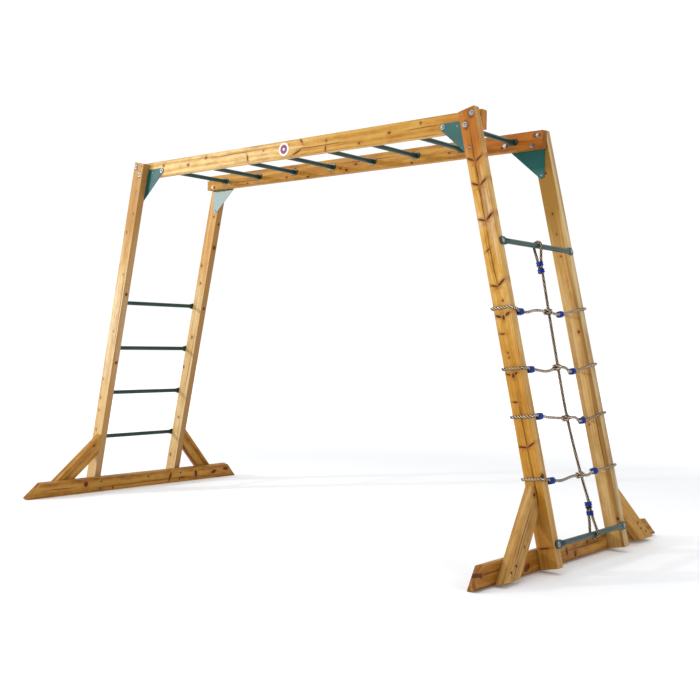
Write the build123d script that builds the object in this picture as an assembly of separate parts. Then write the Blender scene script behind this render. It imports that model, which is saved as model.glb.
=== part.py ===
from build123d import *
import math
import os

# A free-standing set of monkey bars: two timber rails carry eight overhead rungs between
# two leaning timber frames. The left frame is a ladder, the right frame holds a rope net.
# X runs along the rails, Y across them (-Y is the front), Z is up.
# The origin is on the ground under the middle of the frame.

# Timber
WIDE = 90.0
THIN = 45.0
EDGE_R = 4.0

# Top
RAIL_LENGTH = 2500.0
RAIL_TOP = 2060.0
RAIL_OUTER_Y = 300.0
PLATE_THICK = 3.0

# Leaning side frames. Each one is flat and leans inwards at the top. Places in a frame are
# given as (y, u, n): u runs up the frame's slope and n points out of it, away from the middle.
LEAN = 13.0
FOOT_X = 1670.0
POST_TOP_U = 2112.0
BEAM_LENGTH = 1700.0
BRACE_REACH = 732.0

# Steel tubes
TUBE_R = 12.5
TUBE_WALL = 2.0
RUNG_COUNT = 8
RUNG_PITCH = 308.0
TAB_LENGTH = 64.0
TAB_HEIGHT = 34.0
TAB_THICK = 5.0
NECK = 26.0
NECK_LENGTH = 31.0
NECK_HEIGHT = 26.0
PADDLE_HEIGHT = 38.0
PADDLE_THICK = 6.0
PADDLE_END_Y = 340.0
PADDLE_BOLT_Y = 319.0
PADDLE_NECK_HEIGHT = 36.0
PADDLE_GAP = 6.0
LADDER_FIRST_U = 344.0
LADDER_PITCH = 295.0
LADDER_COUNT = 4
NET_BAR_U = {"top": 1476.0, "bottom": 120.0}

# Gusset plates, drawn as the hull of three round corners (x, z)
PLATE_CORNER_R = 17.0
PLATE_TIP = (1036.0, 2001.0)
PLATE_CORNER = (1223.0, 2001.0)
PLATE_FOOT = (1223.0, 1840.0)
PLATE_SCREW = (1120.0, 1996.0)

# Fasteners
SHANK_R = 5.0
SCREW_R = 2.5
HOLE_GAP = 0.2
WASHER_THICK = 2.0
NUT_HEIGHT = 8.0
COACH_BOLTS = [(2084.0, 26.0), (2042.0, -19.0)]
TOP_SCREW = (2094.0, -27.0)
POST_SCREW = (1933.0, -16.0)

# Rope net
ROPE_R = 6.0
BEND_R = 11.5
BEND_SHARE = 0.45
CLEARANCE = 0.3
CLIP_SIZE = (46.0, 31.0, 36.0)
CLIP_CORNER_R = 9.0
CLIP_CHAMFER = 3.0
NEAR_CLIP_PLACE = (-259.0, 33.0)
FAR_CLIP_N = 19.0
BAND_SIZE = (36.0, 22.0)
BAND_HEIGHT = 19.0
RING_SIZE = (34.0, 20.0)
RING_HEIGHT = 6.0
TOP_BANDS_Y = -18.0
LOW_BANDS_Y = 13.5
KNOT_R = 19.0

BADGE_R = 36.0
BADGE_X = -8.0
BADGE_THICK = 2.0
BADGE_CHAMFER = 0.6

sin_lean = math.sin(math.radians(LEAN))
cos_lean = math.cos(math.radians(LEAN))
HALF_WIDE = WIDE / 2
RAIL_MID = RAIL_TOP - HALF_WIDE
RAIL_INNER_Y = RAIL_OUTER_Y - THIN
POST_INNER_Y = RAIL_OUTER_Y + PLATE_THICK
POST_OUTER_Y = POST_INNER_Y + THIN
POST_MID_Y = (POST_INNER_Y + POST_OUTER_Y) / 2
BEAM_N = (-HALF_WIDE - THIN, -HALF_WIDE)
# The rounded inner edge of each base beam touches the ground.
FOOT_U = (EDGE_R + (-BEAM_N[0] - EDGE_R) * sin_lean) / cos_lean - EDGE_R
BAR_N = HALF_WIDE + PADDLE_THICK / 2
SIDE = Plane(origin=(FOOT_X, 0, 0), x_dir=(0, 1, 0), z_dir=(cos_lean, 0, sin_lean))
UPRIGHT = (Align.CENTER, Align.CENTER, Align.MIN)
HANGING = (Align.CENTER, Align.CENTER, Align.MAX)


# ---------------------------------------------------------------- helpers

def to_left(shape):
    return mirror(shape, about=Plane.YZ)


def to_rear(shape):
    return mirror(shape, about=Plane.XZ)


def corners(shape):
    """The front right corner's shape at all four corners."""
    return {
        "front_right": shape,
        "rear_right": to_rear(shape),
        "front_left": to_left(shape),
        "rear_left": to_left(to_rear(shape)),
    }


def cut(body, voids):
    """The body with each void taken out, as one solid."""
    for void in voids:
        body = body - void
    return body.solids()[0]


def ends(shapes):
    """The shapes at the front and again at the rear."""
    front = list(shapes)
    return front + [to_rear(shape) for shape in front]


def frame_point(y, u, n):
    """A point of the right frame in the part's own axes."""
    return Vector(FOOT_X - u * sin_lean + n * cos_lean, y, u * cos_lean + n * sin_lean)


def facing_y(x, y, z):
    """A place on a face that looks to -Y."""
    return Plane(origin=(x, y, z), x_dir=(1, 0, 0), z_dir=(0, -1, 0))


def facing_inside(x, y, z):
    """A place on a face of the front side that looks to +Y."""
    return Plane(origin=(x, y, z), x_dir=(1, 0, 0), z_dir=(0, 1, 0))


def facing_n(y, u, n):
    """A place on a face of the right frame that looks out along n."""
    return Plane(origin=frame_point(y, u, n), x_dir=(0, 1, 0), z_dir=SIDE.z_dir)


def facing_minus_n(y, u, n):
    """A place on a face of the right frame that looks inwards."""
    return Plane(origin=frame_point(y, u, n), x_dir=(0, 1, 0), z_dir=-SIDE.z_dir)


# ---------------------------------------------------------------- fasteners
# Each is built standing on its surface at z = 0, with its shank below.

def dome(radius, height):
    ball = (radius**2 + height**2) / (2 * height)
    return Pos(0, 0, height - ball) * Sphere(ball) & Cylinder(radius, height, align=UPRIGHT)


def shank(radius, length):
    return Cylinder(radius, length, align=HANGING)


HEAD_HEIGHT = 5.5
HEAD_R = 10.0
SMALL_HEAD_R = 8.5
BAR_HEAD_R = 8.0
WASHER_RIM = 3.5
NUT_R = 9.5
NUT_WASHER_R = 11.5
PAN_HEIGHT = 3.2
PAN_R = 6.5
SMALL_PAN_R = 5.5
TINY_PAN_R = 5.0


def washer(radius, bore):
    return extrude(Circle(radius) - Circle(bore + HOLE_GAP), amount=WASHER_THICK)


def dome_bolt(length, head_r=HEAD_R):
    bolt = Pos(0, 0, WASHER_THICK) * (dome(head_r, HEAD_HEIGHT) + shank(SHANK_R, length + WASHER_THICK))
    return [bolt.solids()[0], washer(head_r + WASHER_RIM, SHANK_R)]


def nut_on(length):
    """A washer and nut at the far end of a bolt whose grip has this length."""
    nut = extrude(RegularPolygon(NUT_R, 6) - Circle(SHANK_R + HOLE_GAP), amount=-NUT_HEIGHT)
    below = Pos(0, 0, -length - WASHER_THICK)
    return [below * washer(NUT_WASHER_R, SHANK_R), below * nut]


def coach_bolt(grip, head_r=HEAD_R):
    return dome_bolt(grip + WASHER_THICK + NUT_HEIGHT, head_r) + nut_on(grip)


def pan_screw(length, head_r=PAN_R):
    return [(dome(head_r, PAN_HEIGHT) + shank(SCREW_R, length)).solids()[0]]


def place(plane, solids):
    return [plane * solid for solid in solids]


def hole(plane, radius, length):
    return plane * Cylinder(radius + HOLE_GAP, 2 * length)


# ---------------------------------------------------------------- corner fasteners

def on_post(u, n):
    """A place on the front right post's outer side."""
    point = frame_point(-POST_OUTER_Y, u, n)
    return facing_y(point.X, point.Y, point.Z)


plate_tip = facing_y(PLATE_TIP[0], -POST_INNER_Y, PLATE_TIP[1])
plate_screw = facing_y(PLATE_SCREW[0], -POST_INNER_Y, PLATE_SCREW[1])
plate_foot = facing_inside(PLATE_FOOT[0], -RAIL_OUTER_Y, PLATE_FOOT[1])
CORNER_GRIP = POST_OUTER_Y - RAIL_INNER_Y
PLATE_GRIP = POST_INNER_Y - RAIL_INNER_Y
FOOT_SCREW_LENGTH = 40.0
PLATE_SCREW_LENGTH = 30.0
TIMBER_SCREW_LENGTH = 40.0


def corner_fasteners():
    found = place(plate_tip, coach_bolt(PLATE_GRIP, SMALL_HEAD_R))
    found += place(plate_foot, pan_screw(FOOT_SCREW_LENGTH, SMALL_PAN_R))
    found += place(plate_screw, pan_screw(PLATE_SCREW_LENGTH, TINY_PAN_R))
    found += place(on_post(*TOP_SCREW), pan_screw(TIMBER_SCREW_LENGTH, SMALL_PAN_R))
    found += place(on_post(*POST_SCREW), pan_screw(TIMBER_SCREW_LENGTH, SMALL_PAN_R))
    for u, n in COACH_BOLTS:
        found += place(on_post(u, n), coach_bolt(CORNER_GRIP))
    return found


def corner_holes():
    """The holes of one corner, each as long as its own fastener."""
    found = [
        hole(plate_tip, SHANK_R, PLATE_GRIP),
        hole(plate_foot, SCREW_R, FOOT_SCREW_LENGTH),
        hole(plate_screw, SCREW_R, PLATE_SCREW_LENGTH),
        hole(on_post(*TOP_SCREW), SCREW_R, TIMBER_SCREW_LENGTH),
        hole(on_post(*POST_SCREW), SCREW_R, TIMBER_SCREW_LENGTH),
    ]
    return found + [hole(on_post(u, n), SHANK_R, CORNER_GRIP) for u, n in COACH_BOLTS]


# ---------------------------------------------------------------- timber

def board(x, y, z, along):
    """A square board with its four long edges rounded."""
    body = Box(x, y, z)
    return fillet(body.edges().filter_by(along), EDGE_R)


def rail(holes):
    body = Pos(0, -RAIL_OUTER_Y + THIN / 2, RAIL_MID) * board(RAIL_LENGTH, THIN, WIDE, Axis.X)
    return cut(body, holes)


def post(holes):
    length = POST_TOP_U - FOOT_U
    body = Pos(-POST_MID_Y, FOOT_U + length / 2, 0) * board(THIN, length, WIDE, Axis.Y)
    return cut(SIDE * body, holes)


def outlined_board(points, n_from, along):
    """A board cut to an outline in the frame's plane, with its long edges rounded."""
    body = extrude(make_face(Polyline(*points, close=True)), amount=THIN)
    body = fillet(body.edges().filter_by(along), EDGE_R)
    return SIDE * Pos(0, 0, n_from) * body


def base_beam(holes):
    """The ground beam of a frame, with ends cut at 45 degrees and longer below."""
    half = BEAM_LENGTH / 2
    outline = [
        (-half, FOOT_U),
        (half, FOOT_U),
        (half - WIDE, FOOT_U + WIDE),
        (-half + WIDE, FOOT_U + WIDE),
    ]
    return cut(outlined_board(outline, BEAM_N[0], Axis.X), holes)


def brace(holes):
    """A diagonal from the front post's side down to the beam, level with its underside."""
    step = WIDE * math.sqrt(2)
    outline = [
        (-POST_OUTER_Y, BRACE_REACH - POST_OUTER_Y),
        (-POST_OUTER_Y, BRACE_REACH - POST_OUTER_Y - step),
        (-(BRACE_REACH - step - FOOT_U), FOOT_U),
        (-(BRACE_REACH - FOOT_U), FOOT_U),
    ]
    slope = Axis((0, 0, 0), (1, 1, 0))
    return cut(outlined_board(outline, BEAM_N[1], slope), holes)


# ---------------------------------------------------------------- base fasteners

BRACE_SCREWS = [(-645.0, 55.0), (-600.0, 75.0)]
BEAM_SCREWS_U = (FOOT_U + 22.0, FOOT_U + 68.0)
BRACE_SCREW_LENGTH = 70.0
BEAM_SCREW_LENGTH = 80.0
brace_face = [facing_n(y, u, 0) for y, u in BRACE_SCREWS]
beam_face = [facing_minus_n(-POST_MID_Y, u, BEAM_N[0]) for u in BEAM_SCREWS_U]
BASE_SCREWS = [(plane, BRACE_SCREW_LENGTH) for plane in brace_face]
BASE_SCREWS += [(plane, BEAM_SCREW_LENGTH) for plane in beam_face]


def base_fasteners():
    return [screw for plane, length in BASE_SCREWS for screw in place(plane, pan_screw(length))]


def base_holes():
    return [hole(plane, SCREW_R, length) for plane, length in BASE_SCREWS]


# ---------------------------------------------------------------- steel

def gusset_plate(holes):
    rounds = [Pos(x, z) * Circle(PLATE_CORNER_R) for x, z in (PLATE_TIP, PLATE_CORNER, PLATE_FOOT)]
    outline = make_hull(ShapeList(edge for ring in rounds for edge in ring.edges()))
    body = extrude(Plane.XZ.offset(RAIL_OUTER_Y) * outline, amount=PLATE_THICK)
    return cut(body, holes)


def top_rung():
    """A tube along Y at x = 0, z = 0, with an oval tab at each end that lies on the rail."""
    tab_y = RAIL_INNER_Y - TAB_THICK
    tube_y = tab_y - NECK
    body = Rot(90, 0, 0) * Cylinder(TUBE_R, 2 * tube_y)
    neck = loft([
        Plane.XZ.offset(tube_y) * Circle(TUBE_R),
        Plane.XZ.offset(tab_y) * SlotOverall(NECK_LENGTH, NECK_HEIGHT),
    ])
    tab = extrude(Plane.XZ.offset(tab_y) * SlotOverall(TAB_LENGTH, TAB_HEIGHT), amount=TAB_THICK)
    end = neck + tab
    body = body + end + to_rear(end)
    body = body - Rot(90, 0, 0) * Cylinder(TUBE_R - TUBE_WALL, 2 * tube_y)
    return body.solids()[0]


def frame_bar():
    """A tube along the frame's y at u = 0, with both ends pressed flat to lie on the posts."""
    flat_y = POST_INNER_Y - PADDLE_GAP
    tube_y = flat_y - NECK
    neck = loft([
        Plane.YZ.offset(tube_y) * Circle(TUBE_R),
        Plane.YZ.offset(flat_y) * SlotOverall(PADDLE_NECK_HEIGHT, PADDLE_THICK),
    ])
    centre_y = PADDLE_END_Y - PADDLE_HEIGHT / 2
    outline = Pos((flat_y + centre_y) / 2, 0) * Rectangle(centre_y - flat_y, PADDLE_HEIGHT)
    outline = outline + Pos(centre_y, 0) * Circle(PADDLE_HEIGHT / 2)
    paddle = Pos(0, 0, -PADDLE_THICK / 2) * extrude(outline, amount=PADDLE_THICK)
    bolt_hole = Pos(PADDLE_BOLT_Y, 0, 0) * Cylinder(SHANK_R + HOLE_GAP, 2 * PADDLE_THICK)
    end = neck + paddle - bolt_hole
    body = Rot(0, 90, 0) * Cylinder(TUBE_R, 2 * tube_y)
    body = body + end + mirror(end, about=Plane.YZ)
    body = body - Rot(0, 90, 0) * Cylinder(TUBE_R - TUBE_WALL, 2 * tube_y)
    return body.solids()[0]


def rung_x(index):
    return (index - (RUNG_COUNT - 1) / 2) * RUNG_PITCH


TAB_SCREW_X = 23.0
TAB_SCREW_LENGTH = 38.0
TAB_PAN_R = 6.0
rung_screw_planes = [
    facing_inside(rung_x(index) + side * TAB_SCREW_X, -RAIL_INNER_Y + TAB_THICK, RAIL_MID)
    for index in range(RUNG_COUNT)
    for side in (-1, 1)
]
rung_screw_holes = [hole(plane, SCREW_R, TAB_SCREW_LENGTH) for plane in rung_screw_planes]
tab_screw = pan_screw(TAB_SCREW_LENGTH, TAB_PAN_R)
rung_screws = [screw for plane in rung_screw_planes for screw in place(plane, tab_screw)]

BAR_BOLT_LENGTH = 56.0
ladder_levels = [LADDER_FIRST_U + index * LADDER_PITCH for index in range(LADDER_COUNT)]


def bar_bolt_planes(levels):
    return [facing_n(-PADDLE_BOLT_Y, u, BAR_N + PADDLE_THICK / 2) for u in levels]


def bar_bolts(levels):
    bolt = dome_bolt(BAR_BOLT_LENGTH, BAR_HEAD_R)
    return ends(solid for plane in bar_bolt_planes(levels) for solid in place(plane, bolt))


def bar_holes(levels):
    return [hole(plane, SHANK_R, BAR_BOLT_LENGTH) for plane in bar_bolt_planes(levels)]


# ---------------------------------------------------------------- rope net
# Routes are lists of (y, u, n). A rope's own bends are as wide as its runs allow, and where
# it goes tight round a post or a bar the bend is that thing's size.

VERTICAL_ROUTE = [
    (-19, 1340, 41.3),
    (-17, 1397, 41.3),
    (-8, 1480.5, 25.8),
    (-7, 1496, 38.9),
    (-7, 1496, 57.1),
    (-8, 1480.5, 70.2),
    (-17, 1397, 54.7),
    (-21, 1310, 54.5),
    (-24, 1155, 51),
    (-36, 893, 51.5),
    (-42, 655, 51),
    (-11, 391, 51.5),
    (12, 265, 54.5),
    (15, 199, 54.7),
    (16, 115.5, 70.2),
    (16, 100, 57.1),
    (16, 100, 38.9),
    (16, 115.5, 25.8),
    (15, 199, 41.3),
    (12, 267, 41.3),
]
BAR_BEND_R = 19.0
VERTICAL_TIGHT = dict.fromkeys([2, 3, 4, 5, 14, 15, 16, 17], BAR_BEND_R)
TOP_BANDS_U = (1388, 1353)
LOW_BANDS_U = (257, 215)
LOW_RING_U = 241


def near_loop(loop_u, clip_u):
    """The rope's end in the near clip, round the front post and back out of the clip."""
    return [
        (-238, clip_u, 26.5),
        (-286.5, clip_u + 3, 26.5),
        (-293.5, clip_u + 6, 19.5),
        (-294, loop_u - 1, -46),
        (-301, loop_u, -53),
        (-349, loop_u + 6, -53),
        (-356, loop_u + 6, -46),
        (-356, loop_u - 6, 46),
        (-349, loop_u - 7, 53),
        (-299, clip_u + 6, 53.5),
        (-282, clip_u, 40),
        (-237, clip_u - 1, 39.5),
    ]


def far_loop(loop_u, clip_y, clip_u):
    """The rope into the far clip, round the rear post and back to its end in the clip."""
    return [
        (clip_y - 28, clip_u - 2, 25.8),
        (clip_y + 24, clip_u, 25.5),
        (299, loop_u - 5, 55),
        (349, loop_u + 1, 53),
        (356, loop_u + 2, 46),
        (356, loop_u, -46),
        (349, loop_u, -53),
        (301, loop_u - 6, -56.5),
        (clip_y + 24, clip_u, 12.5),
        (clip_y - 24, clip_u - 1, 12.5),
    ]


NET_ROPES = [
    {
        "near": (1175, 1152),
        "middle": [
            (-196, 1149, 39), (-150, 1160, 38.5), (-80, 1164, 38), (-24, 1158, 38),
            (34, 1157, 35), (76, 1152, 30),
        ],
        "far": (1184, 140, 1156),
    },
    {
        "near": (899, 887),
        "middle": [
            (-196, 882, 39), (-137, 875, 38.5), (-86, 879, 38), (-50, 890, 38),
            (-12, 896, 37.5), (38, 897, 34), (76, 892, 31), (98, 880, 29),
        ],
        "far": (905, 152, 877),
    },
    {
        "near": (684, 676),
        "middle": [
            (-196, 668, 39), (-115, 661, 38.5), (-44, 657, 38), (20, 656, 35),
            (64, 659, 32), (88, 653, 30), (106, 641, 28),
        ],
        "far": (664, 158, 639),
    },
    {
        "near": (409, 390),
        "middle": [
            (-196, 382, 39), (-153, 383, 38.5), (-84, 391, 38), (-11, 394, 38),
            (49, 386, 33), (110, 383, 28),
        ],
        "far": (408, 181, 397),
    },
]
KNOTS = [(-24, 1157, 44.5), (-36, 893, 44.5), (-42, 656, 44.5), (-11, 392, 44.5)]


def net_route(rope):
    return near_loop(*rope["near"]) + rope["middle"] + far_loop(*rope["far"])


def tight_bends(route):
    """The corners of a net rope at a post's edges, two to an edge, and at the near clip's mouth."""
    last = len(route) - 1
    near = list(range(1, 9))
    far = list(range(last - 6, last - 2))
    return dict.fromkeys(near + far, BEND_R)


def bend_radii(points, tight):
    """The radius at each corner, which takes up BEND_SHARE of the shorter run beside it."""
    radii = []
    for index in range(1, len(points) - 1):
        before = points[index] - points[index - 1]
        after = points[index + 1] - points[index]
        turn = math.radians(before.get_angle(after))
        run = min(before.length, after.length)
        radii.append(tight.get(index, BEND_SHARE * run / math.tan(turn / 2)))
    return radii


def rope_tube(path, radius):
    start = Plane(origin=path @ 0, z_dir=path % 0)
    return sweep(start * Circle(radius), path=path)


def checked_rope(name, route, tight):
    """The rope's solid and the room it needs, after its radii and volume are printed."""
    points = [frame_point(*spot) for spot in route]
    radii = bend_radii(points, tight)
    path = FilletPolyline(*points, radius=radii)
    solid = rope_tube(path, ROPE_R)
    expected = math.pi * ROPE_R**2 * path.length
    print(name, "length", round(path.length), "volume ratio", round(solid.volume / expected, 4))
    print("  radii", [round(radius) for radius in radii])
    return solid.solids()[0], rope_tube(path, ROPE_R + CLEARANCE)


def clip(y, u, n, tubes):
    """A moulded clip that holds two strands side by side, with tapered ends."""
    body = fillet(Box(*CLIP_SIZE).edges().filter_by(Axis.X), CLIP_CORNER_R)
    ends_of_clip = body.edges().group_by(Axis.X)
    body = chamfer(ends_of_clip[0] + ends_of_clip[-1], CLIP_CHAMFER)
    return cut(SIDE * Pos(y, u, n) * body, tubes)


def band(y, u, size, height, tubes):
    """A moulded oval band round the two strands of the upright rope."""
    across = Plane(origin=(y, u, BAR_N), x_dir=(0, 0, 1), z_dir=(0, 1, 0))
    outline = across * SlotOverall(*size)
    return cut(SIDE * extrude(outline, amount=height / 2, both=True), tubes)


def knot(centre, tubes):
    return cut(SIDE * Pos(*centre) * Sphere(KNOT_R), tubes)


# ---------------------------------------------------------------- badge

def badge():
    plane = facing_y(BADGE_X, -RAIL_OUTER_Y, RAIL_MID)
    body = extrude(Circle(BADGE_R), amount=BADGE_THICK)
    return plane * chamfer(body.edges().group_by(Axis.Z)[-1], BADGE_CHAMFER)


# ---------------------------------------------------------------- the whole set

def build():
    parts = {}
    one_corner = corner_holes()
    rail_holes = one_corner + [to_left(void) for void in one_corner] + rung_screw_holes
    parts["front_rail"] = rail(rail_holes)
    parts["rear_rail"] = to_rear(parts["front_rail"])

    base = base_holes()
    right_post = post(one_corner + base + bar_holes(NET_BAR_U.values()))
    left_post = post(one_corner + base + bar_holes(ladder_levels))
    parts["post_front_right"] = right_post
    parts["post_rear_right"] = to_rear(right_post)
    parts["post_front_left"] = to_left(left_post)
    parts["post_rear_left"] = to_left(to_rear(left_post))

    beam = base_beam(ends(base))
    parts["base_beam_right"] = beam
    parts["base_beam_left"] = to_left(beam)
    for corner, shape in corners(brace(base)).items():
        parts["brace_" + corner] = shape
    for corner, shape in corners(gusset_plate(one_corner)).items():
        parts["gusset_" + corner] = shape

    corner_set = Compound(children=corner_fasteners())
    for corner, shape in corners(corner_set).items():
        parts["corner_bolts_" + corner] = shape
    base_set = Compound(children=ends(base_fasteners()))
    parts["base_screws_right"] = base_set
    parts["base_screws_left"] = to_left(base_set)

    rung = top_rung()
    for index in range(RUNG_COUNT):
        screw_holes = ends(rung_screw_holes[2 * index:2 * index + 2])
        parts[f"top_rung_{index + 1}"] = cut(Pos(rung_x(index), 0, RAIL_MID) * rung, screw_holes)
    parts["rung_screws_front"] = Compound(children=rung_screws)
    parts["rung_screws_rear"] = to_rear(parts["rung_screws_front"])

    bar = frame_bar()
    for index, level in enumerate(ladder_levels):
        parts[f"ladder_rung_{index + 1}"] = to_left(SIDE * Pos(0, level, BAR_N) * bar)
    parts["ladder_rung_bolts"] = to_left(Compound(children=bar_bolts(ladder_levels)))
    for name, level in NET_BAR_U.items():
        parts[f"net_{name}_bar"] = SIDE * Pos(0, level, BAR_N) * bar
    parts["net_bar_bolts"] = Compound(children=bar_bolts(NET_BAR_U.values()))

    upright, upright_room = checked_rope("vertical rope", VERTICAL_ROUTE, VERTICAL_TIGHT)
    parts["rope_vertical"] = upright
    knots = []
    for index, rope in enumerate(NET_ROPES):
        route = net_route(rope)
        solid, room = checked_rope(f"net rope {index + 1}", route, tight_bends(route))
        parts[f"rope_{index + 1}"] = solid
        near_y, near_n = NEAR_CLIP_PLACE
        near_clip = clip(near_y, rope["near"][1], near_n, [room])
        far_clip = clip(rope["far"][1], rope["far"][2], FAR_CLIP_N, [room])
        parts[f"rope_{index + 1}_clips"] = Compound(children=[near_clip, far_clip])
        knots.append(knot(KNOTS[index], [room, upright_room]))
    parts["crossing_knots"] = Compound(children=knots)
    band_places = [(TOP_BANDS_Y, level) for level in TOP_BANDS_U]
    band_places += [(LOW_BANDS_Y, level) for level in LOW_BANDS_U]
    bands = [band(y, u, BAND_SIZE, BAND_HEIGHT, [upright_room]) for y, u in band_places]
    parts["rope_bands"] = Compound(children=bands)
    parts["rope_ring"] = band(LOW_BANDS_Y, LOW_RING_U, RING_SIZE, RING_HEIGHT, [upright_room])
    parts["badge"] = badge()
    return parts


os.makedirs("parts", exist_ok=True)
for node, shape in build().items():
    export_step(shape, f"parts/{node}.step")
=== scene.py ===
import math

import bpy
from mathutils import Matrix, Vector


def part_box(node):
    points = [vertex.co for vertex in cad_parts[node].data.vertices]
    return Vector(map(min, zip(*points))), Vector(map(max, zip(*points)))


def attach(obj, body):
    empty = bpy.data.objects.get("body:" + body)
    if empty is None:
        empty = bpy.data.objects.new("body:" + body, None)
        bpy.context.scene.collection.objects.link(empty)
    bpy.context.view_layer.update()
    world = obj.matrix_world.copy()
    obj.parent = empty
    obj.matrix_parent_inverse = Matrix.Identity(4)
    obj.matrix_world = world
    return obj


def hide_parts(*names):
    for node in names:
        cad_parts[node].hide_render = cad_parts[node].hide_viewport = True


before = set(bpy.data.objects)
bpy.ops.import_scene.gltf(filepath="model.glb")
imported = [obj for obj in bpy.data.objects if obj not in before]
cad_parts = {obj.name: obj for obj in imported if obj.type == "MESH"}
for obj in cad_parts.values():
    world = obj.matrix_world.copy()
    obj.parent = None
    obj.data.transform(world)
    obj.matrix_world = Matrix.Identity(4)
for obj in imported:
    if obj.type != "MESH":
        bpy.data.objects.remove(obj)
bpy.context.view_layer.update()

# Looks for a free-standing set of monkey bars. Lengths are in metres, colours in sRGB from 0 to 255.

scene = bpy.context.scene

LEAN = math.radians(13)
SIN, COS = math.sin(LEAN), math.cos(LEAN)
FOOT_X = 1.670
RAIL_LOW, RAIL_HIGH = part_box("rear_rail")
RAIL_MID = (RAIL_LOW + RAIL_HIGH) / 2
HALF_THIN = (RAIL_HIGH.y - RAIL_LOW.y) / 2
HALF_WIDE = (RAIL_HIGH.z - RAIL_LOW.z) / 2
POST_LOW, POST_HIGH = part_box("post_rear_right")
POST_MID_Y = (POST_LOW.y + POST_HIGH.y) / 2
BEAM_MID_U = 0.065
BEAM_MID_N = -HALF_WIDE - HALF_THIN
BRACE_MID_Y = 0.49
BRACE_MID_U = 0.19


def frame_point(y, u, n, side=1):
    """A point of the leaning right frame, or of the left one with side=-1.

    In a frame's own axes, u runs up the slope of its posts from the ground at FOOT_X, and n outwards
    from their middle.
    """
    return Vector((side * (FOOT_X - u * SIN + n * COS), y, u * COS + n * SIN))


def frame_direction(y, u, n, side):
    """The unit vector of a step in that frame's own axes."""
    return (frame_point(y, u, n, side) - frame_point(0, 0, 0, side)).normalized()


# ---------------------------------------------------------------- camera

CAMERA_PLACE = (3.7780, -4.1732, 0.9766)
CAMERA_YAW = math.radians(40.387)
CAMERA_PITCH = math.radians(-0.397)
CAMERA_ROLL = math.radians(0.956)
CAMERA_LENS = 51.46
CAMERA_SENSOR = 36


def add_camera():
    data = bpy.data.cameras.new("camera")
    data.lens = CAMERA_LENS
    data.sensor_width = CAMERA_SENSOR
    camera = bpy.data.objects.new("camera", data)
    turn = Matrix.Rotation(CAMERA_YAW, 4, "Z") @ Matrix.Rotation(math.pi / 2 + CAMERA_PITCH, 4, "X")
    camera.matrix_world = Matrix.Translation(CAMERA_PLACE) @ turn @ Matrix.Rotation(CAMERA_ROLL, 4, "Z")
    scene.collection.objects.link(camera)
    scene.camera = camera


# ---------------------------------------------------------------- shader helper

def linear(colour):
    """An sRGB colour as the linear RGBA that a shader takes."""
    parts = [value / 255 for value in colour]
    return [p / 12.92 if p <= 0.04045 else ((p + 0.055) / 1.055) ** 2.4 for p in parts] + [1]


class Nodes:
    """Adds nodes to one tree. A method that adds a node returns its output."""

    def __init__(self, tree):
        self.tree = tree

    def put(self, socket, value):
        if isinstance(value, bpy.types.NodeSocket):
            self.tree.links.new(value, socket)
        else:
            socket.default_value = value

    def add(self, kind, values, output=0, **settings):
        node = self.tree.nodes.new("ShaderNode" + kind)
        for key, value in settings.items():
            setattr(node, key, value)
        for key, value in values.items():
            self.put(node.inputs[key], value)
        return node.outputs[output]

    def math(self, operation, a, b=0.0, c=0.0):
        return self.add("Math", {0: a, 1: b, 2: c}, operation=operation)

    def place(self):
        return self.add("TexCoord", {}, output="Object")

    def local(self, vector, origin, turn=(0, 0, 0), scale=(1, 1, 1)):
        """The vector seen from an origin, in turned and scaled axes."""
        values = {0: vector, 1: origin, 2: turn, 3: scale}
        return self.add("Mapping", values, vector_type="TEXTURE")

    def stretched(self, vector, scale):
        return self.add("VectorMath", {0: vector, 1: scale}, operation="MULTIPLY")

    def length(self, vector):
        return self.add("VectorMath", {0: vector}, output="Value", operation="LENGTH")

    def split(self, vector):
        x = self.add("SeparateXYZ", {0: vector})
        return x, x.node.outputs[1], x.node.outputs[2]

    def join(self, x, y):
        return self.add("CombineXYZ", {0: x, 1: y})

    def noise(self, vector, scale, detail, roughness=0.5):
        values = {"Vector": vector, "Scale": scale, "Detail": detail, "Roughness": roughness}
        return self.add("TexNoise", values)

    def bands(self, value, per_metre, detail):
        """Irregular bands along one value."""
        values = {"W": value, "Scale": per_metre, "Detail": detail}
        return self.add("TexNoise", values, noise_dimensions="1D")

    def ease(self, value, start, end, low=0.0, high=1.0):
        """From low at start to high at end, smoothly."""
        values = {0: value, 1: start, 2: end, 3: low, 4: high}
        return self.add("MapRange", values, interpolation_type="SMOOTHSTEP")

    def mix(self, factor, a, b):
        """From a to b, which are colours or outputs: the node has these at 6 and 7, the result at 2."""
        a = a if isinstance(a, bpy.types.NodeSocket) else linear(a)
        b = b if isinstance(b, bpy.types.NodeSocket) else linear(b)
        return self.add("Mix", {0: factor, 6: a, 7: b}, output=2, data_type="RGBA")

    def bump(self, height, distance, strength):
        return self.add("Bump", {"Height": height, "Distance": distance, "Strength": strength})


class Shader(Nodes):
    """The nodes of one new material."""

    def __init__(self, name):
        self.material = bpy.data.materials.new(name)
        self.material.use_nodes = True
        super().__init__(self.material.node_tree)
        self.tree.nodes.clear()

    def finish(self, values):
        """The material, from the values of its Principled shader."""
        shader = self.add("BsdfPrincipled", values)
        output = self.tree.nodes.new("ShaderNodeOutputMaterial")
        self.tree.links.new(shader, output.inputs["Surface"])
        return self.material


# ---------------------------------------------------------------- timber
# A board's own axes are a along the grain, b across its wide face and c through it.
# A knot is (a, b, half length, half width, tilt in degrees), and a crack is (a, b, half length).
# A patch is (a, b, half length, half width, colour, amount), and a darkening round a bolt is (a, b, half
# width).
# A side knot is (a, c, half length, half width) on the narrow face where b is greatest.
# A side light and shade is (colour, amount), for that same face: painted shade on the left posts' inner
# faces, and painted light on the right posts' outer faces.

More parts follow.
